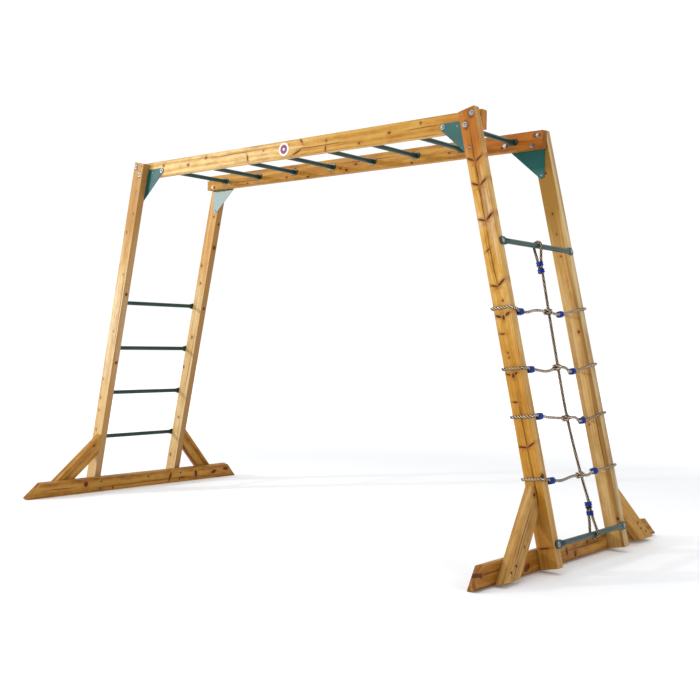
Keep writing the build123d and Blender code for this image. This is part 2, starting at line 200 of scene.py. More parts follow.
KNOT_DARK = (36, 12, 4)
KNOT_RIM = (94, 44, 12)
KNOT_HALO = (156, 92, 30)
# The colour laid darker round the bolts.
BOLT_DARKENING = (92, 50, 16)

# How often each kind of noise changes in a metre along a, b and c.
WANDER_GRAIN = (1.6, 8, 8)
BLOTCH_GRAIN = (1.3, 7, 7)
MOTTLE_GRAIN = (10, 26, 26)
STREAK_GRAIN = (1.8, 40, 40)
FIBRE_GRAIN = (18, 620, 620)
SPECKLE_GRAIN = (90, 90, 90)
RINGS_PER_METRE = 85.0

# How much rings, streaks, mottling and fibres add to the tint, and where one tone turns into the next.
RING_TINT, STREAK_TINT, MOTTLE_TINT, FIBRE_TINT = 0.36, 0.34, 0.30, 0.08
PALE_TO_HONEY = (0.46, 0.56)
HONEY_TO_DARK = (0.555, 0.68)
MARKED_TO_DARK = (0.46, 0.66)

GRAIN_WANDER = 0.045
KNOT_PULL = 0.6
SIDE_KNOT_FACE = (0.036, 0.043)
# The narrow face where b is greatest, which gets the painted side light and shade.
SIDE_LIGHT_SHADE_FACE = (0.0405, 0.0435)
CRACK_SHIFT = 0.004
CRACK_HALF_WIDTH = 0.0028

# Where each mark fades in, in distances from its middle that are 1 on its outline. A wobble makes
# that outline uneven, and an amount is how much of the mark's colour shows.
KNOT_EDGE, KNOT_REACH, KNOT_WOBBLE, KNOT_AMOUNT = (1.05, 0.7), (3.0, 0.9), 0.5, 0.92
SIDE_KNOT_EDGE, SIDE_KNOT_REACH = (1.15, 0.85), (2.4, 0.9)
PATCH_EDGE, PATCH_WOBBLE = (1.25, 0.55), 0.9
CRACK_EDGE, CRACK_AMOUNT = (1.3, 0.5), 0.85
BOLT_DARK_EDGE, BOLT_DARK_WOBBLE, BOLT_DARK_AMOUNT, BOLT_DARK_STRETCH = (1.8, 1.3), 1.2, 0.75, 1.3

# How far patches and cracks stray across the board with its wander, and cracks with its streaks too.
PATCH_STRAY, CRACK_STRAY, CRACK_STREAK = 0.02, 0.03, 0.008

# How much dark grain shows through patches and the painted side light and shade, and where honey blotches
# fade in over the grain.
PATCH_DARK, SIDE_LIGHT_SHADE_DARK = 0.7, 0.6
BLOTCH_EDGE, BLOTCH_AMOUNT = (0.48, 0.64), 0.55

# A knot's halo follows the tint, its core has speckles, and the end grain is darkened by its rings.
HALO_TINT, HALO_AMOUNT = (0.3, 0.6), (0.2, 0.6)
SPECKLE_EDGE = (0.35, 0.6)
END_ON, END_RINGS, END_AMOUNT = (0.62, 0.8), (0.3, 0.7), (0.35, 0.85)


def board_axes(grain, width):
    return Matrix((grain, width, grain.cross(width))).transposed().to_euler()


class Board(Shader):
    """Pine in one board's own axes, painted from the grain up."""

    def __init__(self, name, origin, grain, width, seed):
        super().__init__(name)
        board = self.local(self.place(), origin, board_axes(grain, width))
        self.grain = grain
        self.a, self.b, self.c = self.split(board)
        self.shifted = self.add("VectorMath", {0: board, 1: (seed, seed / 3, seed / 7)}, operation="ADD")
        self.wander = self.math("SUBTRACT", self.grained(WANDER_GRAIN, 3), 0.5)
        self.flow = self.math("MULTIPLY_ADD", self.wander, GRAIN_WANDER, self.b)
        self.knot, self.rim = 0.0, 0.0

    def grained(self, grain, detail, roughness=0.5):
        """Noise that is drawn out along the board, and differs from board to board."""
        return self.noise(self.stretched(self.shifted, grain), 1.0, detail, roughness)

    def spot(self, across, middle, half, tilt=0.0):
        """The distance from a spot's middle, which is 1 on its outline."""
        place = self.join(self.a, across)
        return self.length(self.local(place, (*middle, 0), (0, 0, tilt), (*half, 1)))

    def lay(self, amount, colour):
        """Lays a colour over what the board has so far."""
        self.colour = self.mix(amount, self.colour, colour)

    def grow_knots(self, knots):
        """Marks knots on both wide faces, and bends the flow of the grain round them."""
        for a, b, half_a, half_b, tilt in knots:
            near = self.spot(self.b, (a, b), (half_a, half_b), math.radians(tilt))
            near = self.math("MULTIPLY_ADD", self.wander, KNOT_WOBBLE, near)
            around = self.ease(near, *KNOT_REACH)
            offset = self.math("MULTIPLY", self.math("SUBTRACT", self.b, b), around)
            self.flow = self.math("MULTIPLY_ADD", offset, -KNOT_PULL, self.flow)
            self.knot = self.math("MAXIMUM", self.ease(near, *KNOT_EDGE), self.knot)
            self.rim = self.math("MAXIMUM", around, self.rim)

    def grow_side_knots(self, side_knots):
        """Marks knots on the narrow face where b is greatest."""
        for a, c, half_a, half_c in side_knots:
            on_face = self.ease(self.b, *SIDE_KNOT_FACE)
            near = self.spot(self.c, (a, c), (half_a, half_c))
            inside = self.math("MULTIPLY", self.ease(near, *SIDE_KNOT_EDGE), on_face)
            around = self.math("MULTIPLY", self.ease(near, *SIDE_KNOT_REACH), on_face)
            self.knot = self.math("MAXIMUM", inside, self.knot)
            self.rim = self.math("MAXIMUM", around, self.rim)

    def grow_rings(self, pith):
        """Rings round the pith, which lies at (b, c), with streaks, mottling and fibres."""
        out_b = self.math("SUBTRACT", self.flow, pith[0])
        out_c = self.math("SUBTRACT", self.c, pith[1])
        self.rings = self.bands(self.length(self.join(out_b, out_c)), RINGS_PER_METRE, 3.0)
        self.streaks = self.grained(STREAK_GRAIN, 3)
        self.mottle = self.grained(MOTTLE_GRAIN, 4, 0.7)
        self.fibres = self.grained(FIBRE_GRAIN, 2)
        tint = self.math("MULTIPLY", self.streaks, STREAK_TINT)
        tint = self.math("MULTIPLY_ADD", self.rings, RING_TINT, tint)
        tint = self.math("MULTIPLY_ADD", self.mottle, MOTTLE_TINT, tint)
        self.tint = self.math("MULTIPLY_ADD", self.fibres, FIBRE_TINT, tint)

    def paint_grain(self, pale, honey, dark):
        self.dark = dark
        self.colour = self.mix(self.ease(self.tint, *PALE_TO_HONEY), pale, honey)
        self.lay(self.ease(self.tint, *HONEY_TO_DARK), dark)
        self.lay(self.ease(self.grained(BLOTCH_GRAIN, 2), *BLOTCH_EDGE, 0, BLOTCH_AMOUNT), honey)

    def paint_patches(self, patches):
        """Broad patches of another colour, through which the dark grain still shows."""
        for a, b, half_a, half_b, colour, amount in patches:
            across = self.math("MULTIPLY_ADD", self.wander, PATCH_STRAY, self.b)
            near = self.spot(across, (a, b), (half_a, half_b))
            near = self.math("MULTIPLY_ADD", self.wander, PATCH_WOBBLE, near)
            grained = self.mix(self.ease(self.tint, *MARKED_TO_DARK, 0, PATCH_DARK), colour, self.dark)
            self.lay(self.ease(near, *PATCH_EDGE, 0, amount), grained)

    # Painted light and shade on the narrow face where b is greatest: shade on the left posts' inner faces,
    # light on the right posts' outer faces.
    def paint_side_light_and_shade(self, colour, amount):
        grained = self.mix(self.ease(self.tint, *MARKED_TO_DARK, 0, SIDE_LIGHT_SHADE_DARK), colour, self.dark)
        self.lay(self.ease(self.b, *SIDE_LIGHT_SHADE_FACE, 0, amount), grained)

    def paint_cracks(self, cracks):
        """Thin dark lines that follow the grain."""
        for a, b, half_a in cracks:
            across = self.math("MULTIPLY_ADD", self.wander, CRACK_STRAY, self.b)
            across = self.math("MULTIPLY_ADD", self.streaks, CRACK_STREAK, across)
            near = self.spot(across, (a, b + CRACK_SHIFT), (half_a, CRACK_HALF_WIDTH))
            self.lay(self.ease(near, *CRACK_EDGE, 0, CRACK_AMOUNT), KNOT_RIM)

    def paint_bolt_darkening(self, bolt_darkening):
        """Darkening round the bolts, a little longer along the grain."""
        for a, b, half in bolt_darkening:
            near = self.spot(self.b, (a, b), (half * BOLT_DARK_STRETCH, half))
            near = self.math("MULTIPLY_ADD", self.mottle, BOLT_DARK_WOBBLE, near)
            self.lay(self.ease(near, *BOLT_DARK_EDGE, 0, BOLT_DARK_AMOUNT), BOLT_DARKENING)

    def paint_knots(self):
        speckle = self.grained(SPECKLE_GRAIN, 2)
        halo = self.ease(self.tint, *HALO_TINT, *HALO_AMOUNT)
        self.lay(self.math("MULTIPLY", self.rim, halo), KNOT_HALO)
        core = self.mix(self.ease(speckle, *SPECKLE_EDGE), KNOT_DARK, KNOT_RIM)
        self.lay(self.math("MULTIPLY", self.knot, KNOT_AMOUNT), core)

    def paint_end_grain(self):
        """Darker rings on the faces that the grain runs into."""
        facing = self.add("NewGeometry", {}, output="Normal")
        along = self.add("VectorMath", {0: facing, 1: self.grain}, output="Value", operation="DOT_PRODUCT")
        end_on = self.ease(self.math("ABSOLUTE", along), *END_ON)
        ringed = self.ease(self.rings, *END_RINGS, *END_AMOUNT)
        self.lay(self.math("MULTIPLY", end_on, ringed), self.dark)

    def finish_board(self):
        height = self.math("MULTIPLY_ADD", self.fibres, 0.5, self.rings)
        return self.finish({
            "Base Color": self.colour,
            "Roughness": self.math("MULTIPLY_ADD", self.tint, 0.25, 0.38),
            "Specular IOR Level": 0.15,
            "Normal": self.bump(height, 0.0006, 0.6),
        })


def timber(
    name, origin, grain, width, tone, pith, knots, seed, side_knots=(), cracks=(), patches=(), bolt_darkening=(),
    side_light_and_shade=None,
):
    """Pine with growth rings round its pith, knots that bend the grain, blotches and fine fibres."""
    board = Board(name, origin, grain, width, seed)
    board.grow_knots(knots)
    board.grow_side_knots(side_knots)
    board.grow_rings(pith)
    board.paint_grain(*tone)
    board.paint_patches(patches)
    # Painted light and shade on the narrow face where b is greatest.
    if side_light_and_shade:
        board.paint_side_light_and_shade(*side_light_and_shade)
    board.paint_cracks(cracks)
    board.paint_bolt_darkening(bolt_darkening)
    board.paint_knots()
    board.paint_end_grain()
    return board.finish_board()


ALONG_X, ALONG_Y, UP = Vector((1, 0, 0)), Vector((0, 1, 0)), Vector((0, 0, 1))

PALE_PINE = ((213, 188, 142), (203, 166, 110), (164, 116, 58))
GOLD_PINE = ((214, 172, 98), (200, 146, 54), (142, 86, 20))
WARM_PINE = ((186, 138, 62), (166, 112, 36), (112, 62, 12))
RED_PINE = ((180, 132, 60), (148, 94, 28), (80, 38, 8))
TOP_STAIN = (178, 98, 10)

FRONT_RAIL = {
    "tone": ((206, 166, 96), (192, 142, 56), (150, 96, 30)),
    "pith": (0.0, 0.10),
    "knots": [
        (-0.794, -0.003, 0.010, 0.007, 0), (-0.637, 0.022, 0.008, 0.006, 30),
        (-0.290, -0.020, 0.005, 0.020, 12), (-0.165, 0.011, 0.004, 0.004, 0),
        (0.120, 0.030, 0.006, 0.018, 38), (0.088, -0.026, 0.038, 0.006, 20),
        (0.292, -0.030, 0.005, 0.018, -8), (0.297, 0.011, 0.006, 0.006, 0),
        (0.713, 0.001, 0.010, 0.007, 0), (0.520, -0.028, 0.007, 0.006, 0),
        (-1.020, 0.014, 0.008, 0.007, 0), (0.905, 0.024, 0.006, 0.006, 0),
    ],
    "cracks": [(-0.42, 0.017, 0.20), (0.25, -0.010, 0.22), (0.92, -0.004, 0.12)],
    "patches": [
        (-0.60, 0.01, 0.70, 0.08, (238, 206, 142), 0.8), (0.75, 0.02, 0.55, 0.06, (190, 140, 44), 0.6),
        (1.15, 0.0, 0.22, 0.08, TOP_STAIN, 0.35),
    ],
    "seed": 3.1,
}
REAR_RAIL = {
    "tone": WARM_PINE,
    "pith": (-0.02, -0.12),
    "knots": [
        (-0.869, -0.031, 0.0086, 0.0072, 0), (-0.757, 0.009, 0.0120, 0.0080, 0),
        (-0.524, -0.026, 0.0077, 0.0088, 0), (-0.453, 0.019, 0.0103, 0.0072, 30),
        (-0.345, -0.040, 0.0120, 0.0056, 20), (-0.085, -0.015, 0.0077, 0.0056, 0),
        (-0.039, -0.029, 0.0103, 0.0080, 0), (0.031, -0.002, 0.0138, 0.0064, 0),
        (0.437, -0.037, 0.0086, 0.0072, 0), (0.442, 0.017, 0.0103, 0.0064, 15),
        (0.687, -0.010, 0.0086, 0.0056, 0), (1.016, -0.022, 0.0103, 0.0072, 0),
    ],
    "cracks": [(0.15, 0.012, 0.25), (-0.9, -0.012, 0.12)],
    "patches": [
        (1.15, 0.0, 0.38, 0.08, (166, 88, 8), 0.85), (-1.1, 0.0, 0.25, 0.08, (196, 142, 56), 0.5),
        # The pale strip along the lower edge is painted light: the lit part of the rail below the front
        # rail's shadow.
        (0.2, -0.042, 1.3, 0.016, (192, 138, 52), 0.6),
    ],
    "bolt_darkening": [(1.216, 0.0215, 0.016), (1.192, -0.0295, 0.010)],
    "seed": 8.4,
}
# Where the posts are darker round their bolts.
POST_BOLT_DARKENING = [(2.082, 0.023, 0.019), (2.039, -0.017, 0.018), (1.933, -0.016, 0.008)]
MIRRORED_BOLT_DARKENING = [(2.082, -0.023, 0.016), (2.039, 0.017, 0.015), (1.933, 0.016, 0.008)]
POST_FRONT_RIGHT = {
    "tone": GOLD_PINE,
    "pith": (0.0, -0.026),
    "knots": [
        (1.875, -0.022, 0.0064, 0.025, 34), (1.868, 0.022, 0.0060, 0.025, -28),
        (1.757, -0.022, 0.0060, 0.024, 30), (1.755, 0.021, 0.0062, 0.026, -30),
        (1.593, 0.023, 0.0074, 0.027, -34), (1.588, -0.022, 0.0058, 0.023, 24),
        (1.446, -0.016, 0.0035, 0.014, -24), (1.279, -0.018, 0.0045, 0.020, 22),
        (1.287, 0.022, 0.0065, 0.026, -30), (1.205, 0.012, 0.0060, 0.005, 0),
        (1.140, -0.024, 0.0070, 0.017, 26), (1.130, 0.000, 0.0130, 0.007, 0),
        (1.142, 0.024, 0.0070, 0.016, -26), (1.060, -0.020, 0.0040, 0.014, 12),
        (0.972, -0.010, 0.0045, 0.004, 0), (0.950, -0.008, 0.0050, 0.004, 0),
        (0.878, -0.028, 0.0045, 0.015, 22), (0.868, -0.004, 0.0120, 0.008, 0),
        (0.876, 0.012, 0.0055, 0.009, -26), (0.752, -0.018, 0.0040, 0.016, 12),
        (0.552, -0.020, 0.0045, 0.023, 14), (0.556, 0.022, 0.0050, 0.022, -24),
        (0.110, -0.006, 0.0050, 0.030, 0),
    ],
    "side_knots": [(0.416, -0.012, 0.012, 0.012)],
    "cracks": [
        (1.93, 0.002, 0.07), (1.80, 0.004, 0.11), (1.66, -0.002, 0.12), (1.38, -0.004, 0.13),
        (0.60, -0.002, 0.16), (0.38, 0.002, 0.10),
    ],
    "patches": [
        (2.10, 0.0, 0.32, 0.09, TOP_STAIN, 0.9), (1.62, 0.022, 0.22, 0.022, (222, 186, 136), 0.85),
        (1.585, -0.024, 0.05, 0.020, (220, 184, 126), 0.7), (0.60, 0.0, 0.50, 0.08, (194, 136, 44), 0.75),
        (0.05, 0.0, 0.22, 0.08, (174, 124, 56), 0.7),
    ],
    "bolt_darkening": POST_BOLT_DARKENING,
    # Painted light on this post's lit outer face.
    "side_light_and_shade": ((196, 166, 112), 0.6),
    "seed": 12.7,
}
POST_REAR_RIGHT = {
    "tone": ((206, 170, 110), (188, 144, 76), (146, 102, 46)),
    "pith": (-0.11, 0.05),
    "knots": [
        (1.897, 0.003, 0.0069, 0.0064, 0), (1.685, -0.002, 0.0077, 0.0064, 0),
        (1.578, -0.002, 0.0052, 0.0040, 0), (1.464, -0.001, 0.0052, 0.0048, 0),
        (1.074, 0.018, 0.0077, 0.0064, 0), (0.155, 0.034, 0.0086, 0.0072, 0),
        (0.62, -0.02, 0.0043, 0.0040, 0),
    ],
    "cracks": [(0.55, 0.02, 0.2)],
    "patches": [
        (1.98, 0.0, 0.50, 0.09, (138, 98, 12), 0.85), (0.55, -0.022, 0.80, 0.030, (204, 168, 112), 0.7),
        (0.66, 0.038, 0.90, 0.022, (140, 98, 42), 0.85),
    ],
    "bolt_darkening": POST_BOLT_DARKENING,
    # Painted light on this post's lit outer face.
    "side_light_and_shade": ((206, 184, 138), 0.75),
    "seed": 21.9,
}
POST_FRONT_LEFT = {
    "tone": PALE_PINE,
    "pith": (0.10, -0.03),
    "knots": [
        (1.054, 0.004, 0.0052, 0.0040, 0), (0.737, -0.025, 0.0060, 0.0048, 0),
        (0.615, -0.020, 0.0077, 0.0048, 0), (0.533, -0.020, 0.0069, 0.0048, 0),
        (0.405, -0.018, 0.0069, 0.0048, 0), (1.42, 0.01, 0.0052, 0.0040, 0),
        (1.68, -0.02, 0.0060, 0.0048, 0), (1.80, 0.02, 0.0052, 0.0040, 0),
    ],
    "side_knots": [(1.30, 0.0, 0.010, 0.009), (0.86, 0.004, 0.009, 0.009)],
    "cracks": [(1.2, 0.03, 0.3)],
    "patches": [
        (1.95, 0.0, 0.42, 0.08, (172, 124, 62), 0.75), (1.05, 0.0, 0.34, 0.08, (228, 206, 164), 0.7),
    ],
    "bolt_darkening": MIRRORED_BOLT_DARKENING,
    # Painted shade on this post's shaded inner face.
    "side_light_and_shade": ((150, 108, 58), 0.7),
    "seed": 30.2,
}
POST_REAR_LEFT = {
    "tone": PALE_PINE,
    "pith": (-0.09, 0.04),
    "knots": [
        (1.852, 0.017, 0.0077, 0.0064, 0), (1.514, -0.023, 0.0077, 0.0064, 0),
        (1.396, -0.005, 0.0077, 0.0064, 0), (1.024, 0.001, 0.0086, 0.0072, 0),
        (0.809, -0.033, 0.0077, 0.0072, 0), (0.461, 0.001, 0.0069, 0.0064, 0),
        (0.185, -0.018, 0.0077, 0.0064, 0),
    ],
    "side_knots": [(1.650, 0.0, 0.014, 0.012), (1.807, 0.004, 0.008, 0.008), (1.233, 0.0, 0.010, 0.009)],
    "cracks": [(0.9, 0.02, 0.25)],
    "patches": [(1.76, 0.0, 0.34, 0.06, (200, 148, 78), 0.7)],
    "bolt_darkening": MIRRORED_BOLT_DARKENING,
    # Painted shade on this post's shaded inner face.
    "side_light_and_shade": ((140, 98, 50), 0.8),
    "seed": 41.5,
}
BEAM_RIGHT = {
    "tone": RED_PINE,
    "pith": (0.01, 0.05),
    "knots": [
        (-0.798, 0.009, 0.012, 0.018, 0), (-0.640, -0.020, 0.008, 0.014, 20),
        (-0.448, -0.018, 0.034, 0.014, 25), (-0.092, 0.000, 0.010, 0.022, 0),
        (-0.018, -0.022, 0.012, 0.020, -30), (0.110, 0.012, 0.010, 0.012, 0),
        (0.731, -0.010, 0.012, 0.012, 0),
    ],
    "cracks": [(-0.72, 0.010, 0.12), (0.05, 0.006, 0.2), (0.6, -0.01, 0.1)],
    "patches": [
        (0.1, 0.005, 0.42, 0.05, (196, 146, 68), 0.7), (-0.72, 0.0, 0.14, 0.05, (160, 100, 24), 0.6),
    ],
    "seed": 52.3,
}
BEAM_LEFT = {
    "tone": RED_PINE,
    "pith": (-0.01, -0.04),
    "knots": [
        (-0.440, 0.016, 0.016, 0.022, 20), (-0.229, -0.026, 0.006, 0.012, 0),
        (0.049, 0.022, 0.007, 0.006, 0), (0.238, 0.004, 0.009, 0.034, -8),
        (0.346, -0.014, 0.030, 0.006, 0), (0.467, 0.004, 0.012, 0.030, 18),
        (0.633, 0.003, 0.026, 0.014, 15), (0.744, 0.016, 0.030, 0.012, -10),
    ],
    "cracks": [(-0.08, -0.014, 0.32), (-0.62, 0.0, 0.10)],
    "patches": [(-0.1, 0.0, 0.80, 0.05, (190, 140, 60), 0.65)],
    "seed": 63.8,
}
BRACES = {
    "front_right": {
        "tone": ((196, 156, 94), (180, 132, 62), (124, 78, 26)),
        "pith": (0.08, 0.05),
        "knots": [(0.20, 0.016, 0.009, 0.008, 0), (-0.05, -0.02, 0.006, 0.005, 0)],
        "cracks": [(0.0, 0.01, 0.15)],
        "patches": [(0.0, -0.01, 0.35, 0.05, (186, 146, 86), 0.6)],
        "seed": 71.0,
    },
    "rear_right": {
        "tone": ((200, 160, 92), (182, 134, 58), (126, 78, 24)),
        "pith": (-0.08, 0.04),
        "knots": [(-0.12, 0.0, 0.008, 0.007, 0)],
        "seed": 77.7,
    },
    "front_left": {
        "tone": WARM_PINE,
        "pith": (-0.09, 0.03),
        "knots": [(0.16, 0.02, 0.008, 0.008, 0), (0.22, -0.01, 0.010, 0.008, 0)],
        "patches": [(0.05, 0.0, 0.30, 0.05, (186, 138, 72), 0.5)],
        "seed": 83.2,
    },
    "rear_left": {
        "tone": ((176, 128, 54), (156, 104, 32), (104, 56, 10)),
        "pith": (0.09, 0.05),
        "knots": [(-0.22, 0.01, 0.012, 0.012, 0)],
        "seed": 90.6,
    },
}


def finish_node(node, material):
    """The CAD node's own object gets the material."""
    for material_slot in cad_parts[node].material_slots:
        material_slot.material = material


def finish_timber():
    for node, end, looks in (("front_rail", -1, FRONT_RAIL), ("rear_rail", 1, REAR_RAIL)):
        origin = (0, end * RAIL_MID.y, RAIL_MID.z)
        finish_node(node, timber(node, origin, ALONG_X, UP, **looks))
    posts = {
        "front_right": POST_FRONT_RIGHT,
        "rear_right": POST_REAR_RIGHT,
        "front_left": POST_FRONT_LEFT,
        "rear_left": POST_REAR_LEFT,
    }
    for corner, looks in posts.items():
        side = 1 if corner.endswith("right") else -1
        end = 1 if corner.startswith("rear") else -1
        up_slope = frame_direction(0, 1, 0, side)
        outwards = frame_direction(0, 0, 1, side)
        origin = frame_point(end * POST_MID_Y, 0, 0, side)
        # The left posts have b turned inwards, so that it grows towards +x on all four.
        b_axis = outwards * side
        finish_node("post_" + corner, timber("post_" + corner, origin, up_slope, b_axis, **looks))
        brace_grain = frame_direction(-end, 1, 0, side)
        brace_width = frame_direction(end, 1, 0, side)
        middle = frame_point(end * BRACE_MID_Y, BRACE_MID_U, -HALF_THIN, side)
        name = "brace_" + corner
        finish_node(name, timber(name, middle, brace_grain, brace_width, **BRACES[corner]))
    for name, side, looks in (("base_beam_right", 1, BEAM_RIGHT), ("base_beam_left", -1, BEAM_LEFT)):
        origin = frame_point(0, BEAM_MID_U, BEAM_MID_N, side)
        finish_node(name, timber(name, origin, ALONG_Y, frame_direction(0, 1, 0, side), **looks))


# ---------------------------------------------------------------- metal and plastic

PAINT_SCUFF = (128, 160, 150)


def painted_steel(name, colour, deep, roughness=0.3, lean=(0, 0, 0), gloss=0.12):
    """Powder coat with a faint orange peel, a slightly uneven tone and a few pale scuffs.

    The lean tips a flat plate's shine a little, as a plate that isn't quite true does.
    """
    s = Shader(name)
    place = s.place()
    broad = s.noise(place, 9.0, 3)
    peel = s.noise(place, 520.0, 2)
    scuff = s.noise(place, 46.0, 6, 0.75)
    painted = s.mix(s.ease(broad, 0.35, 0.7), colour, deep)
    tipped = s.add("VectorMath", {0: s.bump(peel, 0.00012, 0.3), 1: lean}, operation="ADD")
    normal = s.add("VectorMath", {0: tipped}, operation="NORMALIZE")
    return s.finish({
        "Base Color": s.mix(s.ease(scuff, 0.68, 0.76, 0, 0.2), painted, PAINT_SCUFF),
        "Roughness": s.ease(scuff, 0.4, 0.8, roughness, roughness + 0.15),
        "Specular IOR Level": 0.34,
        "Coat Weight": gloss,
        "Coat Roughness": 0.1,
        "Normal": normal,
        "Coat Normal": normal,
    })


def plated_steel(name, bright, dull):
    """Plated steel with fine scratches and a dull bloom."""
    s = Shader(name)
    place = s.place()
    bloom = s.noise(place, 130.0, 4, 0.6)
    scratches = s.noise(s.stretched(place, (1, 1, 9)), 400.0, 2)
    return s.finish({
        "Base Color": s.mix(s.ease(bloom, 0.35, 0.7), bright, dull),
        "Metallic": 0.95,
        "Roughness": s.ease(bloom, 0.3, 0.75, 0.22, 0.48),
        "Normal": s.bump(scratches, 0.0002, 0.4),
    })


def moulded_plastic(name, colour, deep, roughness):
    """Injection-moulded plastic: a fine grain, a soft sheen and faint flow marks."""
    s = Shader(name)
    place = s.place()
    flow = s.noise(s.stretched(place, (1, 2.5, 1)), 70.0, 4)
    grain = s.noise(place, 1600.0, 2)
    return s.finish({
        "Base Color": s.mix(s.ease(flow, 0.35, 0.68), colour, deep),
        "Roughness": s.ease(flow, 0.3, 0.7, roughness, roughness + 0.12),
        "Specular IOR Level": 0.16,
        "Coat Weight": 0.05,
        "Coat Roughness": 0.12,
        "Normal": s.bump(grain, 0.00012, 0.4),
    })


BADGE_RING = (0.0075, 0.0255)
BADGE_BLUR = 0.0004
BADGE_WHITE = ((236, 232, 236), (222, 216, 224))
BADGE_PLUM = (118, 4, 72)


def badge_material():
    """A white disc with one plain ring."""
    s = Shader("badge")
    place = s.place()
    low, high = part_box("badge")
    # The scale of 1000 through the disc leaves only the distance within its plane.
    from_middle = s.length(s.local(place, (low + high) / 2, scale=(1, 1000, 1)))
    inner = s.ease(from_middle, BADGE_RING[0] - BADGE_BLUR, BADGE_RING[0] + BADGE_BLUR)
    outer = s.ease(from_middle, BADGE_RING[1] + BADGE_BLUR, BADGE_RING[1] - BADGE_BLUR)
    white = s.mix(s.ease(s.noise(place, 60.0, 3), 0.35, 0.7), *BADGE_WHITE)
    return s.finish({
        "Base Color": s.mix(s.math("MULTIPLY", inner, outer), white, BADGE_PLUM),
        "Roughness": 0.42,
        "Specular IOR Level": 0.25,
        "Normal": s.bump(s.noise(place, 900.0, 2), 0.0001, 0.3),
    })


# ---------------------------------------------------------------- rope

STRANDS = 3
STRAND_R = 0.0035
STRAND_OUT = 0.0033
STRAND_SIDES = 8
LAY_LENGTH = 0.045
RING_STEP = 0.0026
SPLINE_STEPS = 64
STRAND_UV = "strands"
YARNS_AROUND, YARNS_ALONG = 60.0, 6.0
# Where the painted shade of the grooves turns into the flanks, and the flanks into the painted highlight of
# the crests.
GROOVE_LEVEL, FLANK_LEVEL, CREST_LEVEL = 0.15, 0.24, 0.33
# Rope colours, with a painted highlight on the crests and painted shade in the grooves.
TAN_ROPE = {"lit_crest": (246, 230, 206), "flank": (138, 108, 78), "shaded_groove": (20, 11, 6), "shade": 0.04}
BROWN_ROPE = {"lit_crest": (240, 206, 166), "flank": (64, 36, 20), "shaded_groove": (6, 3, 2), "shade": 0.09}


def rope_material(name, lit_crest, flank, shaded_groove, shade):
    """Twisted strands: pale crests with wear and painted highlight, dark grooves of painted shade, slanting
    yarns and loose fibre.

    The shade widens the grooves.
    """
    s = Shader(name)
    around, along, _ = s.split(s.add("UVMap", {}, uv_map=STRAND_UV))
    place = s.place()
    strand = s.math("FRACT", s.math("MULTIPLY", around, float(STRANDS)))
    crown = s.math("PINGPONG", strand, 0.5)
    yarn_around = s.math("MULTIPLY", around, YARNS_AROUND)
    yarn_along = s.math("MULTIPLY", along, YARNS_ALONG)
    yarns = s.noise(s.join(yarn_around, yarn_along), 1.0, 3)
    hair = s.noise(place, 900.0, 3)
    worn = s.noise(place, 22.0, 3)
    level = s.math("MULTIPLY_ADD", s.math("SUBTRACT", yarns, 0.5), 0.25, crown)
    level = s.math("MULTIPLY_ADD", s.math("SUBTRACT", worn, 0.5), 0.3, level)
    colour = s.mix(s.ease(level, GROOVE_LEVEL + shade, FLANK_LEVEL + shade), shaded_groove, flank)
    colour = s.mix(s.ease(level, FLANK_LEVEL + shade, CREST_LEVEL + shade), colour, lit_crest)
    height = s.math("MULTIPLY_ADD", hair, 0.6, yarns)
    return s.finish({
        "Base Color": colour,
        "Roughness": s.ease(hair, 0.3, 0.7, 0.7, 0.9),
        "Specular IOR Level": 0.2,
        "Sheen Weight": 0.1,
        "Normal": s.bump(height, 0.0006, 0.8),
    })


def link(name, mesh, material):
    piece = bpy.data.objects.new(name, mesh)
    scene.collection.objects.link(piece)
    mesh.materials.append(material)
    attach(piece, "root")
    return piece


def smooth_line(points):
    """The points along a NURBS spline that has the route's points as its control points."""
    curve = bpy.data.curves.new("route", "CURVE")
    curve.dimensions = "3D"
    curve.resolution_u = SPLINE_STEPS
    spline = curve.splines.new("NURBS")
    spline.points.add(len(points) - 1)
    for control, point in zip(spline.points, points):
        control.co = (*point, 1)
    spline.order_u = 3
    spline.use_endpoint_u = True
    holder = bpy.data.objects.new("route", curve)
    mesh = bpy.data.meshes.new_from_object(holder)
    line = [vertex.co.copy() for vertex in mesh.vertices]
    bpy.data.objects.remove(holder)
    bpy.data.curves.remove(curve)
    bpy.data.meshes.remove(mesh)
    kept = [line[0]]
    for point in line[1:-1]:
        if (point - kept[-1]).length >= RING_STEP and (point - line[-1]).length >= RING_STEP / 2:
            kept.append(point)
    return kept + [line[-1]]


def strand_ring(scale):
    """The outline of the touching strands, as (distance, angle) round the rope's middle."""
    ring = []
    half_turn = math.pi / STRANDS
    for index in range(STRANDS * STRAND_SIDES):
        angle = 2 * math.pi * index / (STRANDS * STRAND_SIDES)
        off_crown = (angle - half_turn) % (2 * half_turn) - half_turn
        across = STRAND_OUT * math.sin(off_crown)
        reach = STRAND_OUT * math.cos(off_crown) + math.sqrt(STRAND_R**2 - across**2)
        ring.append((reach * scale, angle))
    return ring


def rope_rings(line, scale):
    """Rings of points along a line, which turn once in each lay length."""
    outline = strand_ring(scale)
    side = (line[1] - line[0]).orthogonal().normalized()
    rings, lengths, travelled = [], [], 0.0
    for index, point in enumerate(line):
        before = line[max(index - 1, 0)]
        after = line[min(index + 1, len(line) - 1)]
        ahead = (after - before).normalized()
        side = (side - ahead * side.dot(ahead)).normalized()
        up = ahead.cross(side)
        travelled += (point - before).length
        twist = 2 * math.pi * travelled / LAY_LENGTH
        rings.append([
            point + (side * math.cos(angle + twist) + up * math.sin(angle + twist)) * reach
            for reach, angle in outline
        ])
        lengths.append(travelled)
    return rings, lengths


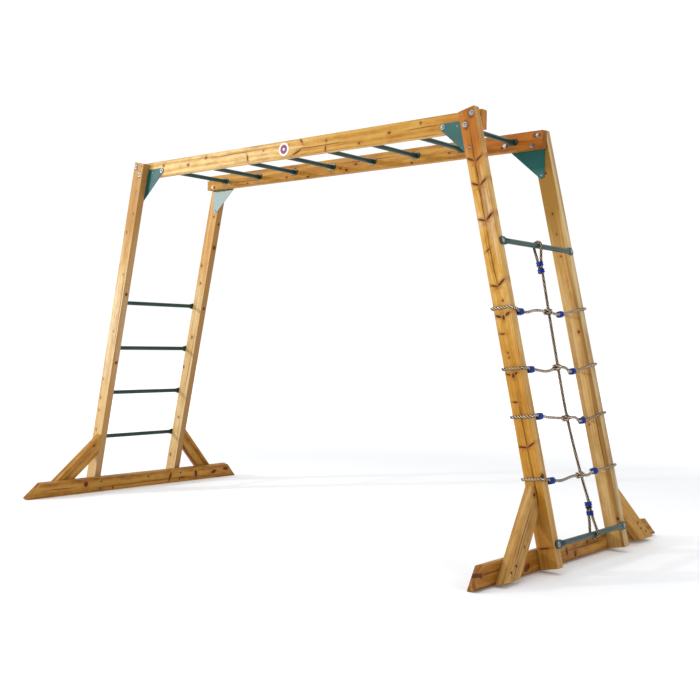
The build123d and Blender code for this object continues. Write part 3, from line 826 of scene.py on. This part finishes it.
def rope_mesh(name, lines, scale=1.0):
    """One mesh of twisted rope along each line, with its ends closed and its strands in a UV map."""
    points, faces, coordinates = [], [], []
    around = STRANDS * STRAND_SIDES
    for line in lines:
        rings, lengths = rope_rings(line, scale)
        start = len(points)
        for ring in rings:
            points.extend(ring)
        for row in range(len(rings) - 1):
            for column in range(around):
                following = (column + 1) % around
                low, high = start + row * around, start + (row + 1) * around
                faces.append((low + column, low + following, high + following, high + column))
                left, right = column / around, (column + 1) / around
                near, far = lengths[row] / LAY_LENGTH, lengths[row + 1] / LAY_LENGTH
                coordinates += [(left, near), (right, near), (right, far), (left, far)]
        last = start + (len(rings) - 1) * around
        faces.append(tuple(start + column for column in reversed(range(around))))
        faces.append(tuple(last + column for column in range(around)))
        coordinates += [(0.5 / STRANDS, 0.5)] * (2 * around)
    mesh = bpy.data.meshes.new(name)
    mesh.from_pydata(points, [], faces)
    mesh.uv_layers.new(name=STRAND_UV)
    for corner, place in zip(mesh.uv_layers[STRAND_UV].data, coordinates):
        corner.uv = place
    mesh.shade_smooth()
    return mesh


# A route's points are (y, u, n) in the right frame, as frame_point takes them.
VERTICAL_ROUTE = [
    (-0.019, 1.340, 0.0413),
    (-0.017, 1.397, 0.0413),
    (-0.008, 1.4805, 0.0258),
    (-0.007, 1.496, 0.0389),
    (-0.007, 1.496, 0.0571),
    (-0.008, 1.4805, 0.0702),
    (-0.017, 1.397, 0.0547),
    (-0.021, 1.310, 0.0545),
    (-0.024, 1.155, 0.051),
    (-0.036, 0.893, 0.0515),
    (-0.042, 0.655, 0.051),
    (-0.011, 0.391, 0.0515),
    (0.012, 0.265, 0.0545),
    (0.015, 0.199, 0.0547),
    (0.016, 0.1155, 0.0702),
    (0.016, 0.100, 0.0571),
    (0.016, 0.100, 0.0389),
    (0.016, 0.1155, 0.0258),
    (0.015, 0.199, 0.0413),
    (0.012, 0.267, 0.0413),
]
NEAR_CLIP_Y, NEAR_CLIP_N, FAR_CLIP_N = -0.259, 0.033, 0.019


def near_loop(loop_u, clip_u):
    """A cross rope's start: through the clip by the front post, round that post and back through."""
    return [
        (-0.238, clip_u, 0.0265),
        (-0.2865, clip_u + 0.003, 0.0265),
        (-0.2935, clip_u + 0.006, 0.0195),
        (-0.294, loop_u - 0.001, -0.046),
        (-0.301, loop_u, -0.053),
        (-0.349, loop_u + 0.006, -0.053),
        (-0.356, loop_u + 0.006, -0.046),
        (-0.356, loop_u - 0.006, 0.046),
        (-0.349, loop_u - 0.007, 0.053),
        (-0.299, clip_u + 0.006, 0.0535),
        (-0.282, clip_u, 0.040),
        (-0.237, clip_u - 0.001, 0.0395),
    ]


def far_loop(loop_u, clip_y, clip_u):
    """A cross rope's end: through its other clip, round the rear post and back through."""
    return [
        (clip_y - 0.028, clip_u - 0.002, 0.0258),
        (clip_y + 0.024, clip_u, 0.0255),
        (0.299, loop_u - 0.005, 0.055),
        (0.349, loop_u + 0.001, 0.053),
        (0.356, loop_u + 0.002, 0.046),
        (0.356, loop_u, -0.046),
        (0.349, loop_u, -0.053),
        (0.301, loop_u - 0.006, -0.0565),
        (clip_y + 0.024, clip_u, 0.0125),
        (clip_y - 0.024, clip_u - 0.001, 0.0125),
    ]


# Each cross rope has the arguments of its two loops, the route between them, its knot and its length.
NET_ROPES = [
    {
        "near": (1.175, 1.152),
        "middle": [
            (-0.196, 1.149, 0.039),
            (-0.150, 1.160, 0.0385),
            (-0.080, 1.164, 0.038),
            (-0.024, 1.158, 0.038),
            (0.034, 1.157, 0.035),
            (0.076, 1.152, 0.030),
        ],
        "far": (1.184, 0.140, 1.156),
        "knot": (-0.024, 1.157, 0.0445),
        "length": 1.363,
    },
    {
        "near": (0.899, 0.887),
        "middle": [
            (-0.196, 0.882, 0.039),
            (-0.137, 0.875, 0.0385),
            (-0.086, 0.879, 0.038),
            (-0.050, 0.890, 0.038),
            (-0.012, 0.896, 0.0375),
            (0.038, 0.897, 0.034),
            (0.076, 0.892, 0.031),
            (0.098, 0.880, 0.029),
        ],
        "far": (0.905, 0.152, 0.877),
        "knot": (-0.036, 0.893, 0.0445),
        "length": 1.354,
    },
    {
        "near": (0.684, 0.676),
        "middle": [
            (-0.196, 0.668, 0.039),
            (-0.115, 0.661, 0.0385),
            (-0.044, 0.657, 0.038),
            (0.020, 0.656, 0.035),
            (0.064, 0.659, 0.032),
            (0.088, 0.653, 0.030),
            (0.106, 0.641, 0.028),
        ],
        "far": (0.664, 0.158, 0.639),
        "knot": (-0.042, 0.656, 0.0445),
        "length": 1.347,
    },
    {
        "near": (0.409, 0.390),
        "middle": [
            (-0.196, 0.382, 0.039),
            (-0.153, 0.383, 0.0385),
            (-0.084, 0.391, 0.038),
            (-0.011, 0.394, 0.038),
            (0.049, 0.386, 0.033),
            (0.110, 0.383, 0.028),
        ],
        "far": (0.408, 0.181, 0.397),
        "knot": (-0.011, 0.392, 0.0445),
        "length": 1.324,
    },
]


def add_rope(node, route, material):
    points = [frame_point(*place) for place in route]
    line = smooth_line(points)
    rope = link(node + "_strands", rope_mesh(node, [line]), material)
    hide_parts(node)


# ---------------------------------------------------------------- pieces on the ropes

SHARP_ANGLE = math.radians(42)
OUTLINE_POINTS = 36
CLIP_SQUARENESS = 3.2
BAND_SQUARENESS = 2.5


def lofted(sections):
    """A closed mesh through rings of points that all have the same count."""
    count = len(sections[0])
    points = [point for section in sections for point in section]
    faces = []
    for row in range(len(sections) - 1):
        for column in range(count):
            following = (column + 1) % count
            low, high = row * count, (row + 1) * count
            faces.append((low + column, low + following, high + following, high + column))
    last = (len(sections) - 1) * count
    faces.append(tuple(reversed(range(count))))
    faces.append(tuple(last + column for column in range(count)))
    return points, faces


def joined_mesh(name, bodies):
    """One smooth mesh of several bodies, with its hard edges kept sharp."""
    points, faces = [], []
    for body_points, body_faces in bodies:
        start = len(points)
        points += body_points
        faces += [tuple(start + index for index in face) for face in body_faces]
    mesh = bpy.data.meshes.new(name)
    mesh.from_pydata(points, [], faces)
    mesh.shade_smooth()
    mesh.set_sharp_from_angle(angle=SHARP_ANGLE)
    return mesh


def squared_round(half_p, half_q, squareness):
    """An outline between an ellipse, at a squareness of 2, and its box."""
    outline = []
    for index in range(OUTLINE_POINTS):
        angle = 2 * math.pi * index / OUTLINE_POINTS
        p, q = math.cos(angle), math.sin(angle)
        outline.append((
            math.copysign(abs(p) ** (2 / squareness), p) * half_p,
            math.copysign(abs(q) ** (2 / squareness), q) * half_q,
        ))
    return outline


# A clip's or a band's profile is (distance from its middle, scale of its outline), from either end to
# the middle. The rivet's profile is (height, radius).
CLIP_HALF = (0.0153, 0.0178)
NEAR_CLIP_PROFILE = [
    (0.0185, 0.40), (0.0218, 0.46), (0.0229, 0.58), (0.0218, 0.70), (0.0168, 0.92), (0.0123, 1.0),
    (0.0022, 1.0), (0.0016, 0.95),
]
FAR_CLIP_PROFILE = [
    (0.0190, 0.34), (0.0220, 0.38), (0.0229, 0.46), (0.0215, 0.58), (0.0120, 0.92), (0.0070, 1.0),
    (0.0018, 1.0), (0.0012, 0.95),
]
RIVET_PROFILE = [(0.0, 0.0058), (0.0012, 0.0058), (0.0018, 0.0050), (0.0018, 0.0036), (0.0010, 0.0028)]
RIVET_POINTS = 20
RIVET_SINK = 0.0004


def both_ways(profile):
    """The whole of a symmetrical profile, as (place along the axis, scale)."""
    low = [(-out, scale) for out, scale in profile]
    high = [(out, scale) for out, scale in reversed(profile) if out > 0]
    return low + high


def clip_bodies(y, u, n, profile):
    """A moulded clip along y with a parting groove, sunk mouths and a rivet on each broad side."""
    outline = squared_round(*CLIP_HALF, CLIP_SQUARENESS)
    turns = [2 * math.pi * index / RIVET_POINTS for index in range(RIVET_POINTS)]
    body = lofted([
        [frame_point(y + offset, u + p * scale, n + q * scale) for p, q in outline]
        for offset, scale in both_ways(profile)
    ])
    bodies = [body]
    for facing in (-1, 1):
        sections = []
        for height, radius in RIVET_PROFILE:
            rivet_n = n + facing * (CLIP_HALF[1] - RIVET_SINK + height)
            sections.append([
                frame_point(y + radius * math.cos(turn), u + radius * math.sin(turn) * facing, rivet_n)
                for turn in turns
            ])
        bodies.append(lofted(sections))
    return bodies


BAND_HALF = (0.011, 0.018)
BAND_N = 0.048
BAND_PROFILE = [(0.0094, 0.88), (0.0088, 0.96), (0.0070, 1.0), (0.0050, 0.98), (0.0042, 0.90)]
RING_PROFILE = [(0.0030, 0.84), (0.0022, 0.92), (0.0, 0.96)]
TOP_BANDS = [(-0.018, 1.388), (-0.018, 1.353)]
LOW_BANDS = [(0.0135, 0.257), (0.0135, 0.215)]
LOW_RING = (0.0135, 0.241)


def band_body(y, u, profile):
    """An oval body round two runs of the rope, with its axis up the slope."""
    outline = squared_round(*BAND_HALF, BAND_SQUARENESS)
    return lofted([
        [frame_point(y + p * scale, u - offset, BAND_N + q * scale) for p, q in outline]
        for offset, scale in both_ways(profile)
    ])


WRAP_ACROSS = 0.0125
WRAP_DEEP = 0.0135
WRAP_RISE = 0.0095
WRAP_OVER = 0.007
WRAP_POINTS = 48
WRAP_OVERLAP = 3
WRAP_SCALE = 0.92


def knot_lines(y, u, n):
    """Two turns of rope round a crossing, tilted opposite ways, the second over the first in front."""
    lines = []
    for tilt in (-1, 1):
        line = []
        for index in range(WRAP_POINTS + WRAP_OVERLAP):
            angle = -math.pi / 2 + 2 * math.pi * index / WRAP_POINTS
            over = WRAP_OVER * max(0.0, math.sin(angle)) if tilt > 0 else 0.0
            line.append(frame_point(
                y + WRAP_ACROSS * math.cos(angle),
                u + tilt * WRAP_RISE * math.cos(angle),
                n + (WRAP_DEEP + over) * math.sin(angle),
            ))
        lines.append(line)
    return lines


def add_net():
    blue = moulded_plastic("blue_plastic", (0, 54, 150), (0, 34, 106), roughness=0.3)
    rubber = moulded_plastic("dark_rubber", (34, 40, 42), (22, 26, 28), roughness=0.55)
    tan = rope_material("net_rope", **TAN_ROPE)
    brown = rope_material("upright_rope", **BROWN_ROPE)
    wraps = [line for rope in NET_ROPES for line in knot_lines(*rope["knot"])]
    knots = link("crossing_knot_wraps", rope_mesh("wraps", wraps, WRAP_SCALE), tan)
    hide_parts("crossing_knots")
    bodies = [band_body(*place, BAND_PROFILE) for place in TOP_BANDS + LOW_BANDS]
    bands = link("rope_band_spools", joined_mesh("bands", bodies), blue)
    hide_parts("rope_bands")
    ring_mesh = joined_mesh("ring", [band_body(*LOW_RING, RING_PROFILE)])
    ring = link("rope_ring_oval", ring_mesh, rubber)
    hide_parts("rope_ring")
    add_rope("rope_vertical", VERTICAL_ROUTE, brown)
    for index, rope in enumerate(NET_ROPES):
        name = f"rope_{index + 1}"
        near_u = rope["near"][1]
        far_y, far_u = rope["far"][1:]
        clips = clip_bodies(NEAR_CLIP_Y, near_u, NEAR_CLIP_N, NEAR_CLIP_PROFILE)
        clips += clip_bodies(far_y, far_u, FAR_CLIP_N, FAR_CLIP_PROFILE)
        clip_piece = link(name + "_clip_pair", joined_mesh(name + "_clips", clips), blue)
        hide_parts(name + "_clips")
        route = near_loop(*rope["near"]) + rope["middle"] + far_loop(*rope["far"])
        add_rope(name, route, tan)


# ---------------------------------------------------------------- carried-over nodes

PLATE_LEAN = (0.03, 0, 0)


def finish_steel():
    tube = painted_steel("green_tube", (14, 56, 48), (8, 42, 38))
    bar = painted_steel("green_bar", (14, 64, 58), (8, 50, 46))
    plate = painted_steel("green_plate", (16, 90, 84), (8, 76, 72), roughness=0.4, gloss=0.0)
    tipped_plate = painted_steel(
        "green_plate_tipped", (28, 92, 84), (18, 76, 72), lean=PLATE_LEAN, gloss=1.0,
    )
    bright = plated_steel("zinc", (172, 170, 166), (112, 108, 102))
    dull = plated_steel("dull_zinc", (84, 80, 74), (52, 48, 44))
    badge = badge_material()
    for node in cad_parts:
        if node.startswith(("top_rung_", "ladder_rung_")) and node != "ladder_rung_bolts":
            finish_node(node, tube)
        elif node in ("net_top_bar", "net_bottom_bar"):
            finish_node(node, bar)
        elif node == "gusset_rear_left":
            finish_node(node, tipped_plate)
        elif node.startswith("gusset_"):
            finish_node(node, plate)
        elif "bolts" in node:
            finish_node(node, bright)
        elif "screws" in node:
            finish_node(node, dull)
        elif node == "badge":
            finish_node(node, badge)


# ---------------------------------------------------------------- stage and light

BACKDROP_SIDE = (-0.648, 0.762, 0.0)
BACKDROP_FADE = (-0.2, 0.75)
BACKDROP_WHITE = 1.03
STUDIO_GREY = 0.46
HORIZON_BAND = (0.06, 0.16)


def studio_world():
    """A white backdrop and horizon, and a dimmer studio above on the viewer's side."""
    world = bpy.data.worlds.new("studio")
    world.use_nodes = True
    s = Nodes(world.node_tree)
    direction = s.add("TexCoord", {}, output="Generated")
    towards = s.add("VectorMath", {0: direction, 1: BACKDROP_SIDE}, output="Value", operation="DOT_PRODUCT")
    height = s.split(direction)[2]
    backdrop = s.ease(towards, *BACKDROP_FADE, STUDIO_GREY, BACKDROP_WHITE)
    horizon = s.ease(height, *reversed(HORIZON_BAND), STUDIO_GREY, BACKDROP_WHITE)
    background = world.node_tree.nodes["Background"]
    s.put(background.inputs["Color"], (1, 1, 1, 1))
    s.put(background.inputs["Strength"], s.math("MAXIMUM", backdrop, horizon))
    scene.world = world


FLOOR_HALF = 30.0
FLOOR_PALE = ((245, 246, 248), (241, 243, 246))
FLOOR_GLOW_REACH = (2.6, 7.0)
FLOOR_GLOW = (0.08, 0.6)


def add_floor():
    """A pale floor that glows a little far from the object, so that it meets the backdrop unseen."""
    mesh = bpy.data.meshes.new("floor")
    corners = [(x * FLOOR_HALF, y * FLOOR_HALF, 0) for x, y in ((-1, -1), (1, -1), (1, 1), (-1, 1))]
    mesh.from_pydata(corners, [], [(0, 1, 2, 3)])
    floor = bpy.data.objects.new("floor", mesh)
    scene.collection.objects.link(floor)
    s = Shader("floor")
    place = s.place()
    mesh.materials.append(s.finish({
        "Base Color": s.mix(s.noise(place, 0.8, 3), *FLOOR_PALE),
        "Roughness": 0.9,
        "Specular IOR Level": 0.1,
        "Emission Color": (1, 1, 1, 1),
        "Emission Strength": s.ease(s.length(place), *FLOOR_GLOW_REACH, *FLOOR_GLOW),
    }))


# Each light is (name, place, target, size, watts).
LIGHTS = [
    ("key", (-5.0, -6.0, 3.0), (0.2, 0, 1.2), 0.35, 224),
    ("overhead", (0, -0.5, 5.5), (0, 0, 0), 7.0, 128),
    ("right_fill", (4.6, 0.4, 2.4), (1.4, 0, 1.2), 1.6, 19),
    ("left_softbox", (-5.4, -4.60, 2.8), (-1.2, 0, 1.9), 2.0, 50),
]


def area_light(name, place, target, size, power):
    data = bpy.data.lights.new(name, "AREA")
    data.shape = "DISK"
    data.size = size
    data.energy = power
    light = bpy.data.objects.new(name, data)
    light.location = place
    light.rotation_euler = (Vector(target) - Vector(place)).to_track_quat("-Z", "Y").to_euler()
    scene.collection.objects.link(light)


def add_stage():
    add_floor()
    studio_world()
    scene.view_settings.view_transform = "Standard"
    for light in LIGHTS:
        area_light(*light)


add_camera()
add_net()
finish_timber()
finish_steel()
add_stage()
